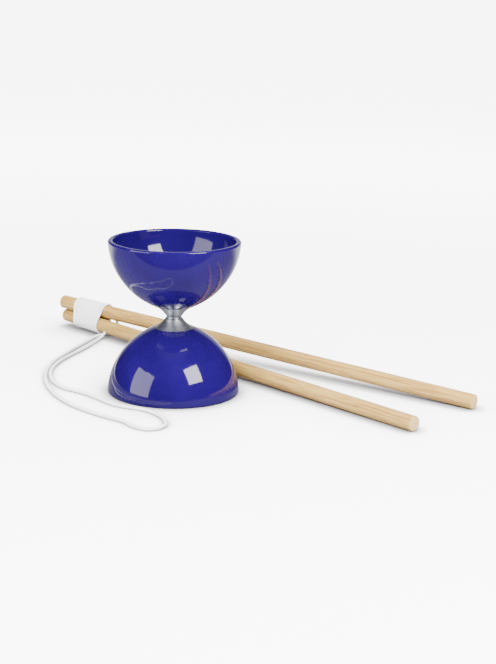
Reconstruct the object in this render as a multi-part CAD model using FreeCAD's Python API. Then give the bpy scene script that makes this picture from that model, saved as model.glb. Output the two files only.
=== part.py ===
import FreeCAD, Part
import math
import os

# Diabolo set: a two-cup spool standing on one rim, two wooden handsticks held by an
# elastic band, and the cotton string that joins them. Millimetres, +Z up.
# The origin is on the spool's axis, in the plane of the rim it stands on.

V = FreeCAD.Vector
UP = V(0, 0, 1)

# Spool
cup_radius = 52.5
spool_height = 123.0
cup_wall = 4.2
lip_round = 1.5
hub_base_radius = 15.6
hub_height = 9.4
hub_edge = 0.5
ring_radius = 6.0
ring_edge_radius = 6.9
ring_half_width = 1.4
ring_end_gap = 0.1
rod_radius = 3.0
bore_clearance = 0.05
spigot_radius = 6.0
spigot_length = 3.8
washer_radius = 12.0
washer_thickness = 1.5
lock_washer_radius = 5.9
lock_washer_thickness = 1.4
nut_across_flats = 10.0
nut_thickness = 5.0
rod_past_nut = 2.0

# Handsticks
stick_length = 430.0
stick_radius = 6.0
stick_end_round = 1.2
crossing = V(-94.5, 202.8, 0)
crossing_from_end = 20.0
front_stick_angle = -47.4
rear_stick_angle = -36.1
front_stick_height = 9.5
rear_stick_height = 22.1
string_hole_depth = 7.0
front_hole_from_end = 63.0
rear_hole_from_end = 58.0
front_hole_dip = 45.0
rear_hole_dip = 50.0

# String and band
string_diameter = 2.8
glued_length = 4.5
swing_room = 2.4
arc_share = 0.45
band_from_end = 20.0
band_width = 34.0
band_thickness = 1.2
band_slack = 0.4
band_top_above_rear_stick = 0.8
band_top_left = 7.9
band_top_right = -0.4

waist = spool_height / 2
washer_seat = hub_height + cup_wall
lock_washer_seat = washer_seat + washer_thickness
nut_seat = lock_washer_seat + lock_washer_thickness
rod_half_length = nut_seat + nut_thickness + rod_past_nut
bore_radius = rod_radius + bore_clearance


def unit(angle):
    """Level direction at this angle from +X, in degrees."""
    return V(math.cos(math.radians(angle)), math.sin(math.radians(angle)), 0)


def stick_axis(angle, height_at_crossing):
    """The middle of a stick's left end, and its direction down to the table at its right end."""
    reach = stick_length - crossing_from_end
    slope = (height_at_crossing - stick_radius) / reach
    direction = (unit(angle) - UP * slope).normalize()
    start = crossing + UP * height_at_crossing - direction * crossing_from_end
    return start, direction


def line(a, b):
    return Part.LineSegment(a, b).toShape()


def arc(a, middle, b):
    return Part.Arc(a, middle, b).toShape()


def turned(edges):
    """Solid of revolution of a closed outline, drawn in the XZ plane, about the Z axis."""
    return Part.Face(Part.Wire(edges)).revolve(V(0, 0, 0), UP, 360)


def outline(points):
    return [line(a, b) for a, b in zip(points, points[1:] + points[:1])]


def tangent_centre(start, towards, end):
    """Centre of the arc that leaves start at right angles to towards and reaches end."""
    chord = end - start
    return start + towards * (chord.Length**2 / (2 * chord.dot(towards)))


def point_on_arc(centre, radius, a, b):
    """Middle of the shorter arc from direction a to direction b."""
    middle = ((a - centre).normalize() + (b - centre).normalize()).normalize()
    return centre + middle * radius


def cup():
    """One bowl, its floor near z = 0 and its rim up, with a seat for the hub."""
    seat_radius = hub_base_radius + 0.3
    foot = V(seat_radius, 0, hub_height - hub_edge)
    belly = V(32.0, 0, 18.9)
    shoulder = V(45.4, 0, 35.2)
    edge = V(cup_radius, 0, waist - lip_round)
    low = arc(foot, belly, shoulder).Curve
    inward = (low.Center - shoulder).normalize()
    high_centre = tangent_centre(shoulder, inward, edge)
    high_radius = (edge - high_centre).Length
    high_middle = point_on_arc(high_centre, high_radius, shoulder, edge)

    floor_top = hub_height + cup_wall
    inner_low_radius = low.Radius - cup_wall
    rise = floor_top - low.Center.z
    inner_foot = V(low.Center.x + math.sqrt(inner_low_radius**2 - rise**2), 0, floor_top)
    inner_shoulder = shoulder + inward * cup_wall
    inner_belly = point_on_arc(low.Center, inner_low_radius, inner_foot, inner_shoulder)
    inner_edge = high_centre + (edge - high_centre).normalize() * (high_radius - cup_wall)
    inner_middle = point_on_arc(high_centre, high_radius - cup_wall, inner_shoulder, inner_edge)

    round_rise = lip_round * math.sin(math.radians(45))
    outer_lip = V(cup_radius - lip_round, 0, waist)
    outer_bend = V(cup_radius - lip_round + round_rise, 0, waist - lip_round + round_rise)
    inner_lip = V(inner_edge.x + lip_round, 0, waist)
    inner_bend = V(inner_edge.x + lip_round - round_rise, 0, waist - lip_round + round_rise)
    hole = spigot_radius + bore_clearance
    return turned([
        line(V(hole, 0, hub_height), V(seat_radius, 0, hub_height)),
        line(V(seat_radius, 0, hub_height), foot),
        arc(foot, belly, shoulder),
        arc(shoulder, high_middle, edge),
        arc(edge, outer_bend, outer_lip),
        line(outer_lip, inner_lip),
        arc(inner_lip, inner_bend, inner_edge),
        arc(inner_edge, inner_middle, inner_shoulder),
        arc(inner_shoulder, inner_belly, inner_foot),
        line(inner_foot, V(hole, 0, floor_top)),
        line(V(hole, 0, floor_top), V(hole, 0, hub_height)),
    ])


def hub():
    """Turned cone that flares from the waist to the cup, with a spigot into the cup's floor."""
    face = ring_half_width + ring_end_gap
    neck = V(ring_edge_radius + 0.1, 0, face)
    flare = V(10.6, 0, 5.6)
    skirt = V(hub_base_radius, 0, hub_height - hub_edge)
    top = hub_height + spigot_length
    return turned([
        line(V(bore_radius, 0, face), neck),
        arc(neck, flare, skirt),
        line(skirt, V(hub_base_radius, 0, hub_height)),
        line(V(hub_base_radius, 0, hub_height), V(spigot_radius, 0, hub_height)),
        line(V(spigot_radius, 0, hub_height), V(spigot_radius, 0, top)),
        line(V(spigot_radius, 0, top), V(bore_radius, 0, top)),
        line(V(bore_radius, 0, top), V(bore_radius, 0, face)),
    ])


def running_ring():
    """Waisted ring that the string runs on, between the two hubs."""
    land = 0.1
    r, h = ring_edge_radius, ring_half_width
    return turned([
        line(V(bore_radius, 0, -h), V(r, 0, -h)),
        line(V(r, 0, -h), V(r, 0, -h + land)),
        arc(V(r, 0, -h + land), V(ring_radius, 0, 0), V(r, 0, h - land)),
        line(V(r, 0, h - land), V(r, 0, h)),
        line(V(r, 0, h), V(bore_radius, 0, h)),
        line(V(bore_radius, 0, h), V(bore_radius, 0, -h)),
    ])


def axle_rod():
    bevel = 0.6
    r, h = rod_radius, rod_half_length
    return turned(outline([
        V(0, 0, -h),
        V(r - bevel, 0, -h),
        V(r, 0, -h + bevel),
        V(r, 0, h - bevel),
        V(r - bevel, 0, h),
        V(0, 0, h),
    ]))


def washer():
    bore = rod_radius + 0.2
    disc = Part.makeCylinder(washer_radius, washer_thickness, V(0, 0, washer_seat))
    disc = disc.makeChamfer(0.3, [e for e in disc.Edges if e.BoundBox.ZLength < 0.01])
    return disc.cut(Part.makeCylinder(bore, washer_thickness + 2, V(0, 0, washer_seat - 1)))


def lock_washer():
    """Split spring washer: a square-section ring with a slanting cut."""
    bore = rod_radius + 0.2
    z = lock_washer_seat
    ring = Part.makeCylinder(lock_washer_radius, lock_washer_thickness, V(0, 0, z))
    ring = ring.cut(Part.makeCylinder(bore, lock_washer_thickness + 2, V(0, 0, z - 1)))
    slit = Part.makeBox(lock_washer_radius + 1, 0.9, lock_washer_thickness + 4)
    slit.translate(V(0, -0.45, z - 2))
    slit.rotate(V(0, 0, z + lock_washer_thickness / 2), V(1, 0, 0), 25)
    return ring.cut(slit)


def nut():
    """Hexagon nut with both faces bevelled to its corners."""
    corner = nut_across_flats / 2 / math.cos(math.radians(30))
    points = [V(0, 0, nut_seat) + unit(60 * i) * corner for i in range(6)]
    prism = Part.Face(Part.makePolygon(points + points[:1])).extrude(UP * nut_thickness)
    flank = corner + 0.05
    bevel = 0.7
    top = nut_seat + nut_thickness
    barrel = turned(outline([
        V(0, 0, nut_seat),
        V(flank - 2 * bevel, 0, nut_seat),
        V(flank, 0, nut_seat + bevel),
        V(flank, 0, top - bevel),
        V(flank - 2 * bevel, 0, top),
        V(0, 0, top),
    ]))
    bore = Part.makeCylinder(bore_radius, nut_thickness + 2, V(0, 0, nut_seat - 1))
    return prism.common(barrel).cut(bore)


def upper(shape):
    return shape.translated(V(0, 0, waist))


def lower(shape):
    return shape.rotated(V(0, 0, 0), V(1, 0, 0), 180).translated(V(0, 0, waist))


def stick(start, direction, hole_mouth, hole_direction):
    """Round wooden rod with rounded ends and a blind hole that the string is glued into."""
    rod = Part.makeCylinder(stick_radius, stick_length, start, direction)
    rims = [e for e in rod.Edges if len(e.Vertexes) == 1]
    rod = rod.makeFillet(stick_end_round, rims)
    hole_radius = string_diameter / 2 + bore_clearance
    bottom = hole_mouth - hole_direction * string_hole_depth
    return rod.cut(Part.makeCylinder(hole_radius, string_hole_depth + 5, bottom, hole_direction))


def string_hole(start, direction, from_end, level, down):
    """Mouth and outward direction of a string hole: level is which side, down how far it dips."""
    side = UP.cross(direction).normalize() * level
    under = direction.cross(UP.cross(direction)).normalize() * -1
    dip = math.radians(down)
    out = side * math.cos(dip) + under * math.sin(dip)
    return start + direction * from_end + out * stick_radius, out


def string_route():
    """Centreline from just under the rear stick's hole, along the table, to the front stick's."""
    table = string_diameter / 2
    return [
        rear_mouth + rear_out * swing_room,
        V(-58.2, 186.0, 10.6),
        V(-59.0, 185.0, 5.2),
        V(-63.6, 181.1, table),
        V(-69.5, 176.0, table),
        V(-76.5, 169.5, table),
        V(-83.0, 149.0, table),
        V(-92.5, 122.0, table),
        V(-98.5, 101.0, table),
        V(-104.5, 82.0, table),
        V(-107.5, 59.0, table),
        V(-107.3, 38.0, table),
        V(-104.0, 15.0, table),
        V(-98.0, -8.0, table),
        V(-87.5, -32.0, table),
        V(-75.0, -51.5, table),
        V(-58.0, -69.5, table),
        V(-44.0, -81.5, table),
        V(-33.5, -88.5, table),
        V(-26.0, -102.0, table),
        V(-13.0, -110.5, table),
        V(-1.5, -100.0, table),
        V(-2.5, -84.0, table),
        V(-10.0, -68.0, table),
        V(-22.0, -56.5, table),
        V(-38.0, -51.0, table),
        V(-49.0, -41.5, table),
        V(-61.0, -25.0, table),
        V(-74.5, -11.5, table),
        V(-89.0, -2.0, table),
        V(-99.0, 17.0, table),
        V(-103.5, 39.0, table),
        V(-104.0, 58.0, table),
        V(-100.0, 80.0, table),
        V(-94.0, 98.0, table),
        V(-84.5, 121.0, table),
        V(-77.5, 143.0, table),
        V(-73.0, 159.0, table),
        front_mouth + front_out * 4.0,
        front_mouth - front_out * glued_length,
    ]


def path_through(points):
    """Straight runs joined by tangent arcs, each as large as its two runs allow."""
    edges, at, radii = [], points[0], []
    for before, corner, after in zip(points, points[1:], points[2:]):
        back, ahead = before - corner, after - corner
        cut = arc_share * min(back.Length, ahead.Length)
        back.normalize()
        ahead.normalize()
        half_turn = (math.pi - back.getAngle(ahead)) / 2
        radius = cut / math.tan(half_turn)
        radii.append(radius)
        bisector = (back + ahead).normalize()
        middle = corner + bisector * (radius / math.cos(half_turn) - radius)
        start, end = corner + back * cut, corner + ahead * cut
        edges += [line(at, start), arc(start, middle, end)]
        at = end
    edges.append(line(at, points[-1]))
    return Part.Wire(edges), radii


def string():
    points = string_route()
    wire, radii = path_through(points)
    first = (points[1] - points[0]).normalize()
    section = Part.Wire(Part.Circle(points[0], first, string_diameter / 2).toShape())
    tube = wire.makePipeShell([section], True, False)
    expected = math.pi * (string_diameter / 2) ** 2 * wire.Length
    print("string length %.1f, volume %.1f of %.1f" % (wire.Length, tube.Volume, expected))
    print("string radii " + " ".join("%.1f" % r for r in radii))
    return tube


def hull_of_circles(circles, origin, across):
    """Outline round circles listed anticlockwise as (sideways, height, radius), equal radii."""
    edges, sides = [], []
    for (u0, w0, r), (u1, w1, _) in zip(circles, circles[1:] + circles[:1]):
        step = V(u1 - u0, w1 - w0, 0).normalize()
        out = V(step.y, -step.x, 0)
        sides.append((V(u0, w0, 0) + out * r, V(u1, w1, 0) + out * r))

    def placed(p):
        return origin + across * p.x + UP * p.y

    for i, (u, w, r) in enumerate(circles):
        arrive, leave = sides[i - 1][1], sides[i][0]
        centre = V(u, w, 0)
        middle = centre + ((arrive - centre) + (leave - centre)).normalize() * r
        edges.append(arc(placed(arrive), placed(middle), placed(leave)))
        edges.append(line(placed(leave), placed(sides[i][1])))
    return Part.Face(Part.Wire(edges))


def stick_band():
    """Elastic band round both sticks near their left ends, resting on the table."""
    direction = unit(front_stick_angle)
    across = UP.cross(direction)
    start = crossing + direction * (band_from_end - crossing_from_end)
    inner = stick_radius + band_slack
    top = rear_stick_height + band_top_above_rear_stick
    bottom = band_thickness + inner
    reach = band_width * direction

    def section(radius):
        circles = [(0.0, bottom, radius), (band_top_left, top, radius), (band_top_right, top, radius)]
        return hull_of_circles(circles, start, across)

    return section(inner + band_thickness).extrude(reach).cut(section(inner).extrude(reach))


front_start, front_direction = stick_axis(front_stick_angle, front_stick_height)
rear_start, rear_direction = stick_axis(rear_stick_angle, rear_stick_height)
front_mouth, front_out = string_hole(front_start, front_direction, front_hole_from_end, -1, front_hole_dip)
rear_mouth, rear_out = string_hole(rear_start, rear_direction, rear_hole_from_end, 1, rear_hole_dip)

parts = {
    "upper_cup": upper(cup()),
    "lower_cup": lower(cup()),
    "upper_hub": upper(hub()),
    "lower_hub": lower(hub()),
    "running_ring": upper(running_ring()),
    "axle_rod": upper(axle_rod()),
    "upper_washer": upper(washer()),
    "lower_washer": lower(washer()),
    "upper_lock_washer": upper(lock_washer()),
    "lower_lock_washer": lower(lock_washer()),
    "upper_nut": upper(nut()),
    "lower_nut": lower(nut()),
    "front_handstick": stick(front_start, front_direction, front_mouth, front_out),
    "rear_handstick": stick(rear_start, rear_direction, rear_mouth, rear_out),
    "stick_band": stick_band(),
    "string": string(),
}

os.makedirs("parts", exist_ok=True)
for name, shape in parts.items():
    shape.exportStep(os.path.join("parts", name + ".step"))
    box = shape.BoundBox
    print(name, len(shape.Solids), shape.isValid(), "%.1f mm3" % shape.Volume,
          "z %.2f to %.2f" % (box.ZMin, box.ZMax))
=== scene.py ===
import math
from collections import namedtuple

import bmesh
import bpy
import numpy as np
from mathutils import Matrix, Vector, noise


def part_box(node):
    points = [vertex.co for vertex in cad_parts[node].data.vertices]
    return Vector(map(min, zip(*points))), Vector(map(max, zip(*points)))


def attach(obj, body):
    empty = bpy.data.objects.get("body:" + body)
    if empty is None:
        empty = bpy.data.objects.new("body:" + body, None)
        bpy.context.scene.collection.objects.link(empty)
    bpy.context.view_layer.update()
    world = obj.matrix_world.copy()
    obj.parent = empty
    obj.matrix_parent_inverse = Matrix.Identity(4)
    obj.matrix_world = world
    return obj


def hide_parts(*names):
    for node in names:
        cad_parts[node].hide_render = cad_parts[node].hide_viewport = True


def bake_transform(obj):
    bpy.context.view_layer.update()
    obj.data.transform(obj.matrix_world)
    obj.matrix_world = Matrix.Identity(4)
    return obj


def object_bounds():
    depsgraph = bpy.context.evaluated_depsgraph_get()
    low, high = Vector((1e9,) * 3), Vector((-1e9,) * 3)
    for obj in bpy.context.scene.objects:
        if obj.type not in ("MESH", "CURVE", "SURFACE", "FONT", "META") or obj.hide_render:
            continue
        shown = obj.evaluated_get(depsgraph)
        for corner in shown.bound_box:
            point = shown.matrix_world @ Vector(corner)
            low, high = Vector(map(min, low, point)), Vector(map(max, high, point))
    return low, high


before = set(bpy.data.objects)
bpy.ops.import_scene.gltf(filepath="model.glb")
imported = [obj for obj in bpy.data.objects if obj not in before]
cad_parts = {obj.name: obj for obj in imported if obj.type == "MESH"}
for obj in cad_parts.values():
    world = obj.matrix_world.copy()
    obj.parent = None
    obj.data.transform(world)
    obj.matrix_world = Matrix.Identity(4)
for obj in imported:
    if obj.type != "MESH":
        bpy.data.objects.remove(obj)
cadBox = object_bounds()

# Diabolo set: two blue cups on a turned metal waist, two wooden handsticks held by a
# white elastic band, and the cotton string that joins them. Metres, +Z up.

mm = 0.001
up = Vector((0, 0, 1))


class Wire:
    # one socket of a node tree; arithmetic on it adds Math nodes
    def __init__(self, tree, socket=None):
        self.tree = tree
        self.socket = socket

    def node(self, kind, settings=None, sockets=None, out=0):
        made = self.tree.nodes.new("ShaderNode" + kind)
        for key, value in (settings or {}).items():
            if key == "stops":
                setStops(made.color_ramp, value)
            else:
                setattr(made, key, value)
        for key, value in (sockets or {}).items():
            if isinstance(value, Wire):
                self.tree.links.new(value.socket, made.inputs[key])
            else:
                made.inputs[key].default_value = value
        return Wire(self.tree, made.outputs[out] if len(made.outputs) else None)

    def calc(self, operation, first, second=0.0):
        return self.node("Math", {"operation": operation}, {0: first, 1: second})

    def __add__(self, other):
        return self.calc("ADD", self, other)

    __radd__ = __add__

    def __sub__(self, other):
        return self.calc("SUBTRACT", self, other)

    def __rsub__(self, other):
        return self.calc("SUBTRACT", other, self)

    def __mul__(self, other):
        return self.calc("MULTIPLY", self, other)

    __rmul__ = __mul__

    def step(self, low, high):
        # 0 below low, 1 above high, smooth between
        sockets = {"Value": self, "From Min": low, "From Max": high}
        return self.node("MapRange", {"interpolation_type": "SMOOTHSTEP"}, sockets)

    def blend(self, first, second):
        # the second colour where self is 1
        return self.node("Mix", {"data_type": "RGBA"}, {0: self, 6: first, 7: second}, out=2)

    def speckle(self, where, scale, detail=2.0, roughness=0.5):
        sockets = {"Vector": where, "Scale": scale, "Detail": detail, "Roughness": roughness}
        return self.node("TexNoise", None, sockets)

    def place(self):
        return self.node("TexCoord", None, None, out="Object")

    def along(self, where, direction):
        settings = {"operation": "DOT_PRODUCT"}
        return self.node("VectorMath", settings, {0: where, 1: direction}, out="Value")

    def shift(self, where, offset):
        return self.node("VectorMath", {"operation": "SUBTRACT"}, {0: where, 1: offset})

    def join(self, x, y, z):
        return self.node("CombineXYZ", None, {0: x, 1: y, 2: z})

    def bump(self, height, distance, strength=1.0):
        sockets = {"Height": height, "Distance": distance, "Strength": strength}
        return self.node("Bump", None, sockets)


def setStops(ramp, stops):
    while len(ramp.elements) < len(stops):
        ramp.elements.new(1.0)
    for element, (position, colour) in zip(ramp.elements, stops):
        element.position = position
        element.color = colour


def newMaterial(name):
    material = bpy.data.materials.new(name)
    material.use_nodes = True
    material.node_tree.nodes.clear()
    return material, Wire(material.node_tree)


def closeMaterial(wire, sockets):
    shader = wire.node("BsdfPrincipled", None, sockets)
    wire.node("OutputMaterial", None, {"Surface": shader})


def paint(piece, material):
    piece.data.materials.clear()
    piece.data.materials.append(material)


def paintNode(name, material):
    for slot in bpy.data.objects[name].material_slots:
        slot.material = material


def meshPiece(name, vertices, faces, smooth=True):
    mesh = bpy.data.meshes.new(name)
    mesh.from_pydata(vertices, [], faces)
    mesh.update()
    work = bmesh.new()
    work.from_mesh(mesh)
    bmesh.ops.recalc_face_normals(work, faces=work.faces)
    work.to_mesh(mesh)
    work.free()
    if smooth:
        mesh.shade_smooth()
    piece = bpy.data.objects.new(name, mesh)
    bpy.context.scene.collection.objects.link(piece)
    return piece


# Camera

camera = {
    "place": (0.043, -1.200, 0.347),
    "turn": 0.766,  # degrees right of straight ahead
    "dip": 13.92,  # degrees below level
    "roll": 1.19,
    "focalLength": 84.1446,
    "sensorHeight": 36,
    "sight": 100,
}


def makeCamera():
    turn, dip = math.radians(camera["turn"]), math.radians(camera["dip"])
    ahead = Vector((math.sin(turn) * math.cos(dip), math.cos(turn) * math.cos(dip), -math.sin(dip)))
    side = Vector((math.cos(turn), -math.sin(turn), 0))
    level = Matrix((side, side.cross(ahead), -ahead)).transposed()
    data = bpy.data.cameras.new("camera")
    data.sensor_fit = "VERTICAL"
    data.sensor_height = camera["sensorHeight"]
    data.lens = camera["focalLength"]
    data.clip_end = camera["sight"]
    made = bpy.data.objects.new("camera", data)
    roll = Matrix.Rotation(math.radians(camera["roll"]), 3, "Z")
    made.matrix_world = Matrix.Translation(camera["place"]) @ (level @ roll).to_4x4()
    bpy.context.scene.collection.objects.link(made)
    bpy.context.scene.camera = made


makeCamera()
print("camera ready")


# String: one length of twisted cotton cord from stick to stick

string = {
    "diameter": 2.8 * mm,
    "strands": 3,
    "lay": 8.5 * mm,  # length of one full twist
    "strandRadius": 0.70 * mm,
    "strandOffset": 0.72 * mm,
    "sides": 10,
    "curveSteps": 20,
    "curveOrder": 3,
    "unevenness": 0.05,
    "unevenScale": 900,
    "strandSeed": 7.3,
}

stringRoute = [
    (-0.0633, 0.1812, 0.0195),
    (-0.0608, 0.1849, 0.0142),
    (-0.0582, 0.1860, 0.0106),
    (-0.0590, 0.1850, 0.0052),
    (-0.0636, 0.1811, 0.0014),
    (-0.0695, 0.1760, 0.0014),
    (-0.0765, 0.1695, 0.0014),
    (-0.0830, 0.1490, 0.0014),
    (-0.0925, 0.1220, 0.0014),
    (-0.0985, 0.1010, 0.0014),
    (-0.1045, 0.0820, 0.0014),
    (-0.1075, 0.0590, 0.0014),
    (-0.1073, 0.0380, 0.0014),
    (-0.1040, 0.0150, 0.0014),
    (-0.0980, -0.0080, 0.0014),
    (-0.0875, -0.0320, 0.0014),
    (-0.0750, -0.0515, 0.0014),
    (-0.0580, -0.0695, 0.0014),
    (-0.0440, -0.0815, 0.0014),
    (-0.0335, -0.0885, 0.0014),
    (-0.0260, -0.1020, 0.0014),
    (-0.0130, -0.1105, 0.0014),
    (-0.0015, -0.1000, 0.0014),
    (-0.0025, -0.0840, 0.0014),
    (-0.0100, -0.0680, 0.0014),
    (-0.0220, -0.0565, 0.0014),
    (-0.0380, -0.0510, 0.0014),
    (-0.0490, -0.0415, 0.0014),
    (-0.0610, -0.0250, 0.0014),
    (-0.0745, -0.0115, 0.0014),
    (-0.0890, -0.0020, 0.0014),
    (-0.0990, 0.0170, 0.0014),
    (-0.1035, 0.0390, 0.0014),
    (-0.1040, 0.0580, 0.0014),
    (-0.1000, 0.0800, 0.0014),
    (-0.0940, 0.0980, 0.0014),
    (-0.0845, 0.1210, 0.0014),
    (-0.0775, 0.1430, 0.0014),
    (-0.0730, 0.1590, 0.0014),
    (-0.0706, 0.1664, 0.0021),
    (-0.0662, 0.1704, 0.0081),
]


def splinePoints(route):
    # the points of a smooth NURBS line through the route
    curve = bpy.data.curves.new("route", "CURVE")
    curve.dimensions = "3D"
    curve.resolution_u = string["curveSteps"]
    spline = curve.splines.new("NURBS")
    spline.points.add(len(route) - 1)
    for point, place in zip(spline.points, route):
        point.co = (*place, 1)
    spline.order_u = string["curveOrder"]
    spline.use_endpoint_u = True
    holder = bpy.data.objects.new("route", curve)
    bpy.context.scene.collection.objects.link(holder)
    mesh = bpy.data.meshes.new_from_object(holder)
    points = [v.co.copy() for v in mesh.vertices]
    bpy.data.objects.remove(holder)
    bpy.data.curves.remove(curve)
    bpy.data.meshes.remove(mesh)
    return points


def carriedFrames(points):
    # a pair of directions across the line at each point, turning as little as possible
    frames, side = [], None
    for i, point in enumerate(points):
        heading = (points[min(i + 1, len(points) - 1)] - points[max(i - 1, 0)]).normalized()
        side = up.cross(heading) if side is None else side
        side = (side - heading * side.dot(heading)).normalized()
        frames.append((side, heading.cross(side)))
    return frames


def makeString():
    points = splinePoints(stringRoute)
    frames = carriedFrames(points)
    vertices, faces = [], []
    sides, count = string["sides"], len(points)
    for strand in range(string["strands"]):
        phase = strand / string["strands"]
        travelled = 0.0
        base = len(vertices)
        for i, point in enumerate(points):
            if i:
                travelled += (point - points[i - 1]).length
            side, rise = frames[i]
            twist = 2 * math.pi * (phase + travelled / string["lay"])
            away = side * math.cos(twist) + rise * math.sin(twist)
            middle = point + away * string["strandOffset"]
            spot = Vector((travelled * string["unevenScale"], strand * string["strandSeed"], 0))
            radius = string["strandRadius"] * (1 + string["unevenness"] * noise.noise(spot))
            for k in range(sides):
                angle = 2 * math.pi * k / sides
                out = side * math.cos(angle) + rise * math.sin(angle)
                vertices.append(middle + out * radius)
        for i in range(count - 1):
            for k in range(sides):
                a, b = base + i * sides + k, base + i * sides + (k + 1) % sides
                faces.append((a, b, b + sides, a + sides))
        faces.append(tuple(base + k for k in range(sides)))
        faces.append(tuple(base + (count - 1) * sides + k for k in range(sides)))
    piece = meshPiece("cottonString", vertices, faces)
    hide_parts("string")
    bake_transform(piece)
    return piece


stringPiece = makeString()


# Band: elastic tape round both sticks

band = {
    "fromEnd": 20.4 * mm,
    "width": 33 * mm,
    "thickness": 1.0 * mm,
    "gap": 0.35 * mm,
    "hemWidth": 2.6 * mm,
    "hemRise": 0.60 * mm,
    "hemEdge": 0.4,  # share of the half thickness left at the very edge
    "hemSteepness": 1.25,
    "hemFullness": 0.6,
    "grooveDepth": 0.34 * mm,
    "grooveWidth": 0.45 * mm,
    "wander": 0.5 * mm,  # how far the edges stray along the sticks
    "wanderScale": 1.3,
    "wanderSeed": 4.0,
    "ripple": 0.16 * mm,
    "rippleRound": 2.2,
    "rippleAcross": 90,
    "lapStart": 0.60,  # share of the way round
    "lapLength": 9 * mm,
    "lapLift": 0.55 * mm,
    "stations": 220,
    "acrossSteps": 44,
}

stickFit = {
    "endDepth": 4 * mm,
    "passes": 8,
    "sidePercent": 90,
}

Stick = namedtuple("Stick", "start heading length radius")


def stickLine(name):
    # the stick's line from its left end, found in the node's own mesh
    mesh = bpy.data.objects[name].data
    places = np.empty(len(mesh.vertices) * 3)
    mesh.vertices.foreach_get("co", places)
    places = places.reshape(-1, 3)
    heading = places[places[:, 0].argmax()] - places[places[:, 0].argmin()]
    for _ in range(stickFit["passes"]):
        heading /= np.linalg.norm(heading)
        reach = places @ heading
        left = places[reach < reach.min() + stickFit["endDepth"]]
        right = places[reach > reach.max() - stickFit["endDepth"]]
        leftMiddle = (left.min(axis=0) + left.max(axis=0)) / 2
        rightMiddle = (right.min(axis=0) + right.max(axis=0)) / 2
        heading = rightMiddle - leftMiddle
    heading /= np.linalg.norm(heading)
    reach = places @ heading
    start = leftMiddle + heading * (reach.min() - leftMiddle @ heading)
    away = (places - start) - np.outer((places - start) @ heading, heading)
    radius = np.percentile(np.linalg.norm(away, axis=1), stickFit["sidePercent"])
    return Stick(Vector(start), Vector(heading), float(reach.max() - reach.min()), float(radius))


frontStick = stickLine("front_handstick")
rearStick = stickLine("rear_handstick")
print("sticks", round(frontStick.length, 4), round(rearStick.length, 4), "m")


def bandLoop(t, steps):
    # points and outward directions round both sticks, in the upright plane t along the front stick
    heading = Vector((frontStick.heading.x, frontStick.heading.y, 0)).normalized()
    across = up.cross(heading)
    origin = Vector((frontStick.start.x, frontStick.start.y, 0)) + heading * t
    centres = []
    for stick in (frontStick, rearStick):
        reach = (origin - stick.start).dot(heading) / stick.heading.dot(heading)
        at = stick.start + stick.heading * reach
        centres.append(Vector(((at - origin).dot(across), at.z)))
    radius = frontStick.radius + band["gap"] + band["thickness"] / 2
    lift = centres[1] - centres[0]
    tilt = math.atan2(lift.y, lift.x)
    half = math.pi * radius
    total = 2 * half + 2 * lift.length
    placed = []
    for i in range(steps):
        s = total * i / steps
        if s < lift.length:
            turn = 0.0
            at = centres[0] + lift * (s / lift.length)
        elif s < lift.length + half:
            turn = (s - lift.length) / radius
            at = centres[1]
        elif s < 2 * lift.length + half:
            turn = math.pi
            at = centres[1] - lift * ((s - lift.length - half) / lift.length)
        else:
            turn = math.pi + (s - 2 * lift.length - half) / radius
            at = centres[0]
        out = Vector((math.sin(tilt + turn), -math.cos(tilt + turn)))
        edge = at + out * radius
        placed.append((origin + across * edge.x + up * edge.y, across * out.x + up * out.y))
    return placed, heading, total


def hemHeight(t):
    # how far the outer face stands off the tape's middle, t from one edge to the other
    near = min(t, band["width"] - t)
    half = band["thickness"] / 2
    if near < band["hemWidth"]:
        edge = half * band["hemEdge"]
        inward = min(near / band["hemWidth"] * band["hemSteepness"], 1)
        swell = math.sin(math.pi * inward) ** band["hemFullness"]
        return edge + (half - edge + band["hemRise"]) * swell
    fromGroove = (near - band["hemWidth"] - band["grooveWidth"]) / band["grooveWidth"]
    return half - band["grooveDepth"] * math.exp(-(fromGroove ** 2))


def makeBand():
    steps, cuts = band["stations"], band["acrossSteps"]
    outer = [band["width"] * (0.5 - 0.5 * math.cos(math.pi * j / cuts)) for j in range(cuts + 1)]
    profile = [(t, hemHeight(t)) for t in outer]
    profile += [(t, -band["thickness"] / 2) for t in reversed(outer[1:-1])]
    vertices, faces = [], []
    for t, rise in profile:
        placed, heading, total = bandLoop(band["fromEnd"] + t, steps)
        middle = t / band["width"] * 2 - 1
        lapEnd = band["lapStart"] + band["lapLength"] / total
        for i, (place, out) in enumerate(placed):
            s = i / steps
            x, y = math.cos(2 * math.pi * s), math.sin(2 * math.pi * s)
            spot = Vector((x * band["wanderScale"], y * band["wanderScale"], band["wanderSeed"]))
            wander = noise.noise(spot) * band["wander"] * middle
            spot = Vector((x * band["rippleRound"], y * band["rippleRound"], t * band["rippleAcross"]))
            lift = rise + noise.noise(spot) * band["ripple"]
            if rise > 0 and band["lapStart"] < s < lapEnd:
                lift += band["lapLift"]
            vertices.append(place + out * lift + heading * wander)
    rings = len(profile)
    for j in range(rings):
        for i in range(steps):
            a, b = j * steps + i, j * steps + (i + 1) % steps
            c, d = (j + 1) % rings * steps + (i + 1) % steps, (j + 1) % rings * steps + i
            faces.append((a, b, c, d))
    piece = meshPiece("elasticBand", vertices, faces)
    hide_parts("stick_band")
    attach(piece, "band")
    _, _, total = bandLoop(band["fromEnd"] + band["width"] / 2, steps)
    total + band["lapLength"]
    print("band round", round(total, 4), "m")
    return piece


bandPiece = makeBand()


# Axle: rod with its thread cut, seen inside the cups

rod = {
    "pitch": 1.0 * mm,
    "depth": 0.55 * mm,
    "bevel": 0.6 * mm,
    "stepsPerTurn": 36,
    "rowsPerTurn": 6,
}


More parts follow.
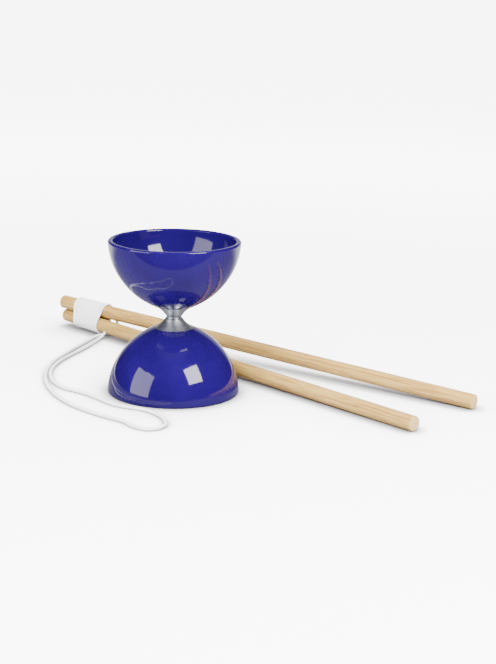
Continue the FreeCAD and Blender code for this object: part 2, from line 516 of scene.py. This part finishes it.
def makeRod():
    low, high = (Vector(corner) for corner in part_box("axle_rod"))
    middle = (low + high) / 2
    radius = (high.x - low.x) / 2
    length = high.z - low.z
    sides = rod["stepsPerTurn"]
    rows = int(length / rod["pitch"] * rod["rowsPerTurn"])
    vertices, faces = [], []
    for j in range(rows + 1):
        z = length * j / rows
        limit = radius - max(0.0, rod["bevel"] - min(z, length - z))
        for k in range(sides):
            angle = 2 * math.pi * k / sides
            phase = (z / rod["pitch"] - k / sides) % 1.0
            crest = radius - rod["depth"] * (1 - abs(2 * phase - 1))
            r = min(limit, crest)
            vertices.append((middle.x + r * math.cos(angle), middle.y + r * math.sin(angle), low.z + z))
    for j in range(rows):
        for k in range(sides):
            a, b = j * sides + k, j * sides + (k + 1) % sides
            faces.append((a, b, b + sides, a + sides))
    faces.append(tuple(range(sides)))
    faces.append(tuple(rows * sides + k for k in range(sides)))
    piece = meshPiece("threadedRod", vertices, faces)
    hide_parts("axle_rod")
    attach(piece, "spool")
    return piece


rodPiece = makeRod()
print("rod ready")


# Materials. A noise is its scale, detail and roughness; an edge is where it starts and is full.

cupLook = {
    "deep": (0.0064, 0.0009, 0.050, 1),
    "clear": (0.0082, 0.0012, 0.064, 1),
    "scuff": (0.040, 0.022, 0.150, 1),
    "cloud": (26, 3),
    "cloudEdge": (0.35, 0.65),
    "wear": (420, 4, 0.7),
    "wearEdge": (0.52, 0.66),
    "wearTone": 0.6,
    "rimBand": (0.2 * mm, 1.2 * mm),  # how far in from a rim the wear reaches
    "scratchRun": (90, 60, 0),
    "scratchSide": (2200, -1800, 900),
    "scratchRise": 700,
    "scratchEdge": (0.62, 0.74),
    "smear": (60, 4, 0.6),
    "smearEdge": (0.45, 0.75),
    "roughness": 0.05,
    "smearRoughness": 0.05,
    "scratchRoughness": 0.07,
    "wearRoughness": 0.3,
    "ior": 1.49,
    "skin": (320, 2),
    "skinHeight": 0.8,
    "scratchHeight": -0.25,
    "bumpDepth": 0.03 * mm,
    "bumpStrength": 0.15,
}


def cupPlastic():
    material, wire = newMaterial("cupPlastic")
    place = wire.place()
    height = wire.along(place, (0, 0, 1))
    fromRim = wire.calc("MINIMUM", height, cadBox[1][2] - height)
    wear = wire.speckle(place, *cupLook["wear"]).step(*cupLook["wearEdge"])
    rub = (1 - fromRim.step(*cupLook["rimBand"])) * wear
    cloud = wire.speckle(place, *cupLook["cloud"]).step(*cupLook["cloudEdge"])
    colour = cloud.blend(cupLook["deep"], cupLook["clear"])
    colour = (rub * cupLook["wearTone"]).blend(colour, cupLook["scuff"])
    smear = wire.speckle(place, *cupLook["smear"]).step(*cupLook["smearEdge"])
    run = wire.along(place, cupLook["scratchRun"])
    side = wire.along(place, cupLook["scratchSide"])
    lines = wire.speckle(wire.join(run, side, height * cupLook["scratchRise"]), 1, 2)
    scratch = lines.step(*cupLook["scratchEdge"])
    roughness = cupLook["roughness"] + smear * cupLook["smearRoughness"]
    roughness += scratch * cupLook["scratchRoughness"]
    roughness += rub * cupLook["wearRoughness"]
    skin = wire.speckle(place, *cupLook["skin"]) * cupLook["skinHeight"]
    skin += scratch * cupLook["scratchHeight"]
    closeMaterial(wire, {
        "Base Color": colour,
        "Roughness": roughness,
        "IOR": cupLook["ior"],
        "Normal": wire.bump(skin, cupLook["bumpDepth"], cupLook["bumpStrength"]),
    })
    return material


hubLook = {
    "light": (0.70, 0.72, 0.76, 1),
    "dark": (0.54, 0.56, 0.60, 1),
    "roughness": 0.31,
    "marks": 5200,  # scale of the tool marks
}

ringLook = {
    "light": (0.52, 0.54, 0.58, 1),
    "dark": (0.36, 0.38, 0.42, 1),
    "roughness": 0.30,
    "marks": 7000,
}

turning = {
    "slope": 0.37,
    "coarseScale": 0.18,
    "coarseSeed": 3.0,
    "stain": (150, 3),
    "lineTone": 0.6,
    "stainTone": 0.4,
    "toneEdge": (0.3, 0.7),
    "lineRoughness": 0.16,
    "stainRoughness": 0.08,
    "stainEdge": (0.5, 0.8),
    "lineHeight": 0.5,
    "coarseHeight": 0.5,
    "bumpDepth": 0.05 * mm,
    "bumpStrength": 0.8,
}


def turnedMetal(name, look):
    # tool marks run round the axis, at a steady distance along the cone's side
    material, wire = newMaterial(name)
    place = wire.place()
    x, y, z = (wire.along(place, axis) for axis in ((1, 0, 0), (0, 1, 0), (0, 0, 1)))
    side = wire.calc("SQRT", x * x + y * y) + z * turning["slope"]
    lines = wire.speckle(wire.join(side * look["marks"], 0.0, 0.0), 1, 3, 0.7)
    apart = side * (look["marks"] * turning["coarseScale"])
    coarse = wire.speckle(wire.join(apart, turning["coarseSeed"], 0.0), 1, 1)
    stain = wire.speckle(place, *turning["stain"])
    tone = lines * turning["lineTone"] + stain * turning["stainTone"]
    roughness = look["roughness"] + lines * turning["lineRoughness"]
    roughness += stain.step(*turning["stainEdge"]) * turning["stainRoughness"]
    marks = lines * turning["lineHeight"] + coarse * turning["coarseHeight"]
    closeMaterial(wire, {
        "Base Color": tone.step(*turning["toneEdge"]).blend(look["dark"], look["light"]),
        "Metallic": 1.0,
        "Roughness": roughness,
        "Normal": wire.bump(marks, turning["bumpDepth"], turning["bumpStrength"]),
    })
    return material


steelLook = {
    "dark": (0.42, 0.42, 0.40, 1),
    "light": (0.66, 0.66, 0.64, 1),
    "bloom": (240, 3),
    "bloomEdge": (0.35, 0.7),
    "grit": (2600, 2),
    "roughness": 0.26,
    "bloomRoughness": 0.14,
    "gritRoughness": 0.06,
    "bumpDepth": 0.02 * mm,
    "bumpStrength": 0.5,
}


def platedSteel():
    material, wire = newMaterial("platedSteel")
    place = wire.place()
    bloom = wire.speckle(place, *steelLook["bloom"])
    grit = wire.speckle(place, *steelLook["grit"])
    roughness = steelLook["roughness"] + bloom * steelLook["bloomRoughness"]
    roughness += grit * steelLook["gritRoughness"]
    closeMaterial(wire, {
        "Base Color": bloom.step(*steelLook["bloomEdge"]).blend(steelLook["dark"], steelLook["light"]),
        "Metallic": 1.0,
        "Roughness": roughness,
        "Normal": wire.bump(grit, steelLook["bumpDepth"], steelLook["bumpStrength"]),
    })
    return material


wood = {
    "pale": (0.450, 0.285, 0.072, 1),
    "tan": (0.262, 0.132, 0.024, 1),
    "brown": (0.130, 0.050, 0.012, 1),
    "endPale": (0.620, 0.430, 0.190, 1),
    "endRing": (0.380, 0.215, 0.075, 1),
    "slow": (9, 60),  # this and the next four: scale along and across the stick
    "grain": (22, 620),
    "fibre": (95, 3400),
    "pores": (240, 5200),
    "patch": (14, 130),
    "bend": 0.9,
    "grainEdge": (0.38, 0.66),
    "darkEdge": (0.66, 0.80),
    "poreEdge": (0.63, 0.72),
    "patchEdge": (0.55, 0.78),
    "fibreEdge": (0.4, 0.7),
    "patchTone": 0.5,
    "darkTone": 0.35,
    "poreTone": 0.28,
    "fibreTone": 0.22,
    "heartAside": 1.6,  # the tree's heart, in stick radii off the middle
    "heartBelow": 1.0,
    "ringScale": 5200,
    "ringWaver": 6,
    "rayScale": 2600,
    "ringTone": 0.25,
    "rayTone": 0.6,
    "faceEdge": (0.1, 0.7),
    "endEdge": (0.15 * mm, 0.6 * mm),
    "roughness": 0.52,
    "grainRoughness": 0.16,
    "poreRoughness": 0.15,
    "grainHeight": 0.5,
    "fibreHeight": 0.35,
    "poreHeight": 0.6,
    "bumpDepth": 0.09 * mm,
    "bumpStrength": 0.9,
    "frontSeed": 0.13,
    "rearSeed": 0.71,
}


def stickWood(name, stick, seed):
    # grain runs along the stick; the ends show its rings
    level = up.cross(stick.heading).normalized()
    upright = stick.heading.cross(level)
    material, wire = newMaterial(name)
    local = wire.shift(wire.place(), stick.start - stick.heading * seed)
    run = wire.along(local, stick.heading)
    left = wire.along(local, level)
    rise = wire.along(local, upright)

    def streaks(kind, detail, roughness=0.5):
        lengthwise, crosswise = wood[kind]
        where = wire.join(run * lengthwise, left * crosswise, rise * crosswise)
        return wire.speckle(where, 1, detail, roughness)

    slow = streaks("slow", 2)
    bend = slow * wood["bend"]
    lengthwise, crosswise = wood["grain"]
    where = wire.join(run * lengthwise, left * crosswise + bend, rise * crosswise + bend)
    grain = wire.speckle(where, 1, 5, 0.62)
    fibre = streaks("fibre", 3, 0.6)
    pores = streaks("pores", 1).step(*wood["poreEdge"])
    patch = streaks("patch", 3, 0.55).step(*wood["patchEdge"])
    tone = grain.step(*wood["grainEdge"]).blend(wood["pale"], wood["tan"])
    tone = (patch * wood["patchTone"]).blend(tone, wood["tan"])
    dark = grain.step(*wood["darkEdge"]) * wood["darkTone"] + pores * wood["poreTone"]
    tone = dark.blend(tone, wood["brown"])
    tone = (fibre.step(*wood["fibreEdge"]) * wood["fibreTone"]).blend(tone, wood["endPale"])
    aside = left - stick.radius * wood["heartAside"]
    above = rise + stick.radius * wood["heartBelow"]
    fromHeart = wire.calc("SQRT", aside * aside + above * above)
    rings = wire.calc("SINE", fromHeart * wood["ringScale"] + slow * wood["ringWaver"])
    rays = wire.speckle(wire.join(left * wood["rayScale"], rise * wood["rayScale"], 0.0), 1, 3)
    face = (rings * wood["ringTone"] + rays * wood["rayTone"]).step(*wood["faceEdge"])
    fromEnd = wire.calc("MINIMUM", run - seed, stick.length + seed - run)
    isEnd = 1 - fromEnd.step(*wood["endEdge"])
    tone = isEnd.blend(tone, face.blend(wood["endPale"], wood["endRing"]))
    roughness = wood["roughness"] + grain * wood["grainRoughness"]
    roughness += pores * wood["poreRoughness"]
    height = grain * wood["grainHeight"] + fibre * wood["fibreHeight"] - pores * wood["poreHeight"]
    closeMaterial(wire, {
        "Base Color": tone,
        "Roughness": roughness,
        "Normal": wire.bump(height, wood["bumpDepth"], wood["bumpStrength"]),
    })
    return material


tapeLook = {
    "pale": (0.88, 0.85, 0.88, 1),
    "shade": (0.79, 0.75, 0.80, 1),
    "gap": (0.55, 0.52, 0.55, 1),
    "grooveShadeColour": (0.24, 0.22, 0.26, 1),
    "cloud": (120, 3),
    "cloudEdge": (0.3, 0.7),
    "cloudTone": 0.6,
    "threadRun": 1100,
    "threadSide": (600, 700, 0),
    "threadRise": (0, 0, 3600),
    "threadEdge": (0.5, 0.8),
    "threadTone": 0.15,
    "broken": (210, 2),
    "brokenEdge": (0.44, 0.58),
    "brokenTone": 0.8,
    "grooveShadeTone": 0.3,
    "grooveStart": 0.1 * mm,
    "roughness": 0.78,
    "threadRoughness": 0.15,
    "sheen": 0.25,
    "sheenRoughness": 0.5,
    "ribSpacing": 0.85 * mm,
    "ribHeight": 0.3,
    "threadHeight": 0.5,
    "bumpDepth": 0.07 * mm,
    "bumpStrength": 0.6,
}


def elasticWeave():
    # ribs along the tape, threads across it, and a broken line of painted shade in the groove beside
    # each hem
    material, wire = newMaterial("elasticWeave")
    place = wire.place()
    fromStart = wire.shift(place, frontStick.start)
    run = wire.along(fromStart, frontStick.heading)
    rib = wire.calc("SINE", run * (2 * math.pi / tapeLook["ribSpacing"]))
    side = wire.along(place, tapeLook["threadSide"])
    rise = wire.along(place, tapeLook["threadRise"])
    thread = wire.speckle(wire.join(run * tapeLook["threadRun"], side, rise), 1, 2)
    cloud = wire.speckle(place, *tapeLook["cloud"]).step(*tapeLook["cloudEdge"])
    tone = (cloud * tapeLook["cloudTone"]).blend(tapeLook["pale"], tapeLook["shade"])
    tone = (thread.step(*tapeLook["threadEdge"]) * tapeLook["threadTone"]).blend(tone, tapeLook["gap"])
    level = Vector((frontStick.heading.x, frontStick.heading.y, 0)).normalized()
    across = wire.along(fromStart, level) - band["fromEnd"]
    fromEdge = wire.calc("MINIMUM", across, band["width"] - across)
    off = wire.calc("ABSOLUTE", fromEdge - (band["hemWidth"] + band["grooveWidth"]))
    broken = wire.speckle(place, *tapeLook["broken"]).step(*tapeLook["brokenEdge"])
    # painted shade: the colour is darkened along the groove beside each hem, in a line broken up by
    # noise
    line = 1 - off.step(tapeLook["grooveStart"], band["grooveWidth"])
    line *= broken * tapeLook["brokenTone"] + tapeLook["grooveShadeTone"]
    closeMaterial(wire, {
        "Base Color": line.blend(tone, tapeLook["grooveShadeColour"]),
        "Roughness": tapeLook["roughness"] + thread * tapeLook["threadRoughness"],
        "Sheen Weight": tapeLook["sheen"],
        "Sheen Roughness": tapeLook["sheenRoughness"],
        "Normal": wire.bump(
            rib * tapeLook["ribHeight"] + thread * tapeLook["threadHeight"],
            tapeLook["bumpDepth"],
            tapeLook["bumpStrength"],
        ),
    })
    return material


cottonLook = {
    "pale": (0.94, 0.94, 0.94, 1),
    "shade": (0.80, 0.80, 0.81, 1),
    "fuzzPale": (0.97, 0.97, 0.97, 1),
    "yarn": (700, 2),
    "yarnEdge": (0.4, 0.7),
    "yarnTone": 0.5,
    "fuzz": (2300, 3, 0.6),
    "fuzzEdge": (0.6, 0.8),
    "fuzzTone": 0.2,
    "roughness": 0.82,
    "fuzzRoughness": 0.12,
    "sheen": 0.4,
    "sheenRoughness": 0.6,
    "fuzzHeight": 0.6,
    "yarnHeight": 0.4,
    "bumpDepth": 0.12 * mm,
    "bumpStrength": 0.8,
}


def cottonCord():
    material, wire = newMaterial("cottonCord")
    place = wire.place()
    fuzz = wire.speckle(place, *cottonLook["fuzz"])
    yarn = wire.speckle(place, *cottonLook["yarn"])
    yarnTone = yarn.step(*cottonLook["yarnEdge"]) * cottonLook["yarnTone"]
    fuzzTone = fuzz.step(*cottonLook["fuzzEdge"]) * cottonLook["fuzzTone"]
    tone = yarnTone.blend(cottonLook["pale"], cottonLook["shade"])
    height = fuzz * cottonLook["fuzzHeight"] + yarn * cottonLook["yarnHeight"]
    closeMaterial(wire, {
        "Base Color": fuzzTone.blend(tone, cottonLook["fuzzPale"]),
        "Roughness": cottonLook["roughness"] + fuzz * cottonLook["fuzzRoughness"],
        "Sheen Weight": cottonLook["sheen"],
        "Sheen Roughness": cottonLook["sheenRoughness"],
        "Normal": wire.bump(height, cottonLook["bumpDepth"], cottonLook["bumpStrength"]),
    })
    return material


def dressPieces():
    plastic = cupPlastic()
    hubMetal = turnedMetal("turnedAluminium", hubLook)
    ringMetal = turnedMetal("ringMetal", ringLook)
    steel = platedSteel()
    for side in ("upper_", "lower_"):
        paintNode(side + "cup", plastic)
        paintNode(side + "hub", hubMetal)
        for small in ("washer", "lock_washer", "nut"):
            paintNode(side + small, steel)
    paintNode("running_ring", ringMetal)
    paintNode("front_handstick", stickWood("frontStickWood", frontStick, wood["frontSeed"]))
    paintNode("rear_handstick", stickWood("rearStickWood", rearStick, wood["rearSeed"]))
    paint(rodPiece, steel)
    paint(bandPiece, elasticWeave())
    paint(stringPiece, cottonCord())


dressPieces()
print("materials ready")


# Stage and light

studio = {
    "target": Vector((0, -0.04, 0.03)),
    # name, degrees right of the front, degrees up, distance, width, height, watts, mirrored
    "softboxes": (
        ("leftSoftbox", -61, 17.5, 1.0, 0.70, 0.66, 9, True),
        ("rightSoftbox", 47, 36, 1.0, 0.47, 0.46, 18, True),
        ("fill", -12, 52, 1.5, 1.5, 1.1, 95, False),
        ("rearFill", 168, 48, 1.6, 1.6, 1.2, 42, False),
    ),
    "front": 0.03,
    "rear": 0.8,
    "rearEdge": (0.80, 0.96),
    "overhead": 0.35,
    "overheadEdge": (0.87, 0.98),
}

paper = {
    "size": 60.0,
    "light": (0.90, 0.90, 0.90, 1),
    "shaded": (0.30, 0.30, 0.31, 1),
    "mirrored": (0.15, 0.145, 0.16, 1),  # painted reflection: the dark paper that glossy rays see close to the set, not the paper's own colour
    "paintedReflectionFront": (0.02, 0.02, 0.02, 1),
    "paintedReflectionRear": (0.75, 0.75, 0.75, 1),
    "frontEdge": (0.165, 0.175),
    "rearEdge": (0.14, 0.40),
    "glow": 4.0,
    "farGlow": 3.5,
    "farEdge": (0.3, 1.7),
    "grain": (900, 2),
    "grainGlow": 0.02,
    "shadowReach": 0.05,
    "shadowDepth": 3.0,
    "paintedPaperShadeDepth": 1.2,
    "contactReach": 0.010,
    "contactDepth": 2.6,
    "shadowSamples": 16,
}


def makeFloor():
    half = paper["size"] / 2
    corners = [(-half, -half, 0), (half, -half, 0), (half, half, 0), (-half, half, 0)]
    floor = meshPiece("studioFloor", corners, [(0, 1, 2, 3)], smooth=False)
    material, wire = newMaterial("floorPaper")
    place = wire.place()
    seen = wire.node("LightPath", None, None, out="Is Camera Ray")
    mirrored = wire.node("LightPath", None, None, out="Is Glossy Ray")

    def openness(reach):
        settings = {"samples": paper["shadowSamples"]}
        return wire.node("AmbientOcclusion", settings, {"Distance": reach}, out="AO")

    # painted shadow: ambient occlusion near and under the pieces darkens the paper's colour and its
    # camera-only glow
    nearby = openness(paper["shadowReach"])
    contactShadow = wire.calc("POWER", openness(paper["contactReach"]), paper["contactDepth"])
    paintedPaperShade = wire.calc("POWER", nearby, paper["paintedPaperShadeDepth"]) * contactShadow
    shadow = wire.calc("POWER", nearby, paper["shadowDepth"]) * contactShadow
    front = wire.along(place, (0, -1, 0)).step(*paper["frontEdge"])
    rear = wire.along(place, (0, 1, 0)).step(*paper["rearEdge"])
    # painted reflection: glossy rays see dark paper near the set, near black in front and pale behind
    paintedReflection = front.blend(paper["mirrored"], paper["paintedReflectionFront"])
    paintedReflection = rear.blend(paintedReflection, paper["paintedReflectionRear"])
    tone = mirrored.blend(paintedPaperShade.blend(paper["shaded"], paper["light"]), paintedReflection)
    far = wire.node("VectorMath", {"operation": "LENGTH"}, {0: place}, out="Value")
    glow = far.step(*paper["farEdge"]) * paper["farGlow"] + paper["glow"]
    grain = wire.speckle(place, *paper["grain"]) * paper["grainGlow"]
    # the camera-only glow keeps the paper white, dimmed where the painted shadow falls
    strength = seen * (shadow * glow + grain)
    diffuse = wire.node("BsdfDiffuse", None, {"Color": tone})
    emission = wire.node("Emission", None, {"Color": (1, 1, 1, 1), "Strength": strength})
    both = wire.node("AddShader", None, {0: diffuse, 1: emission})
    wire.node("OutputMaterial", None, {"Surface": both})
    paint(floor, material)


def makeSoftbox(name, turn, rise, distance, width, height, watts, mirrored):
    turn, rise = math.radians(turn), math.radians(rise)
    away = Vector((math.sin(turn) * math.cos(rise), -math.cos(turn) * math.cos(rise), math.sin(rise)))
    data = bpy.data.lights.new(name, "AREA")
    data.shape = "RECTANGLE"
    data.size, data.size_y = width, height
    data.energy = watts
    made = bpy.data.objects.new(name, data)
    made.location = studio["target"] + away * distance
    made.rotation_euler = (-away).to_track_quat("-Z", "Y").to_euler()
    made.visible_glossy = mirrored
    bpy.context.scene.collection.objects.link(made)


def makeWorld():
    world = bpy.data.worlds.new("studio")
    bpy.context.scene.world = world
    world.use_nodes = True
    world.node_tree.nodes.clear()
    wire = Wire(world.node_tree)
    heading = wire.node("TexCoord", None, None, out="Generated")
    rear = wire.along(heading, (0, 1, 0)).step(*studio["rearEdge"])
    above = wire.along(heading, (0, 0, 1)).step(*studio["overheadEdge"])
    level = wire.calc("MAXIMUM", rear * studio["rear"], above * studio["overhead"]) + studio["front"]
    light = wire.node("Background", None, {"Color": (1, 1, 1, 1), "Strength": level})
    wire.node("OutputWorld", None, {"Surface": light})


makeFloor()
for softbox in studio["softboxes"]:
    makeSoftbox(*softbox)
makeWorld()
print("stage ready")
